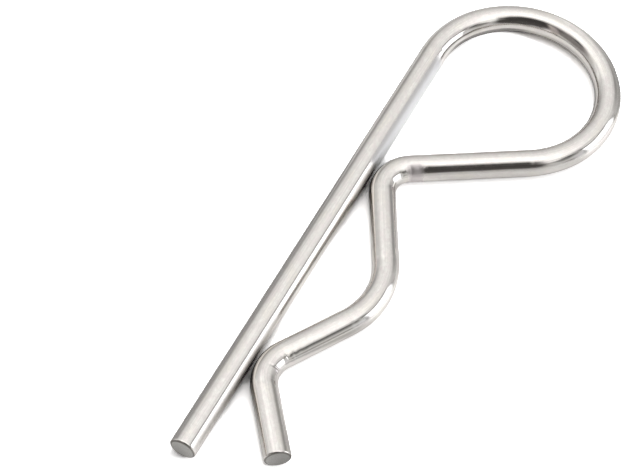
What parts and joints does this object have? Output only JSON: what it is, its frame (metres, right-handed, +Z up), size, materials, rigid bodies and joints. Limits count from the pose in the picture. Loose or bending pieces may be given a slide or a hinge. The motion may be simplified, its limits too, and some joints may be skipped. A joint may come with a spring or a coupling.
{
  "type": "hitch pin clip",
  "caption": "Flat spring clip bent from round wire: a straight leg for a cross hole, a round spring loop, and a waved leg whose saddle grips the outside of a shaft.",
  "frame": {"origin": "under the middle of the clip's box, on the surface that the clip lies on", "axes": "+X along the straight leg, from its cut end towards the spring loop; +Y across the clip, from the waved leg towards the straight leg; +Z up through the wire"},
  "size_m": [0.0712, 0.0234, 0.003],
  "materials": {
    "drawn_steel": "bright drawn stainless spring wire, fine lines along its length, plain cut ends"
  },
  "bodies": {
    "root": {"spring_wire": "drawn_steel"}
  },
  "joints": []
}
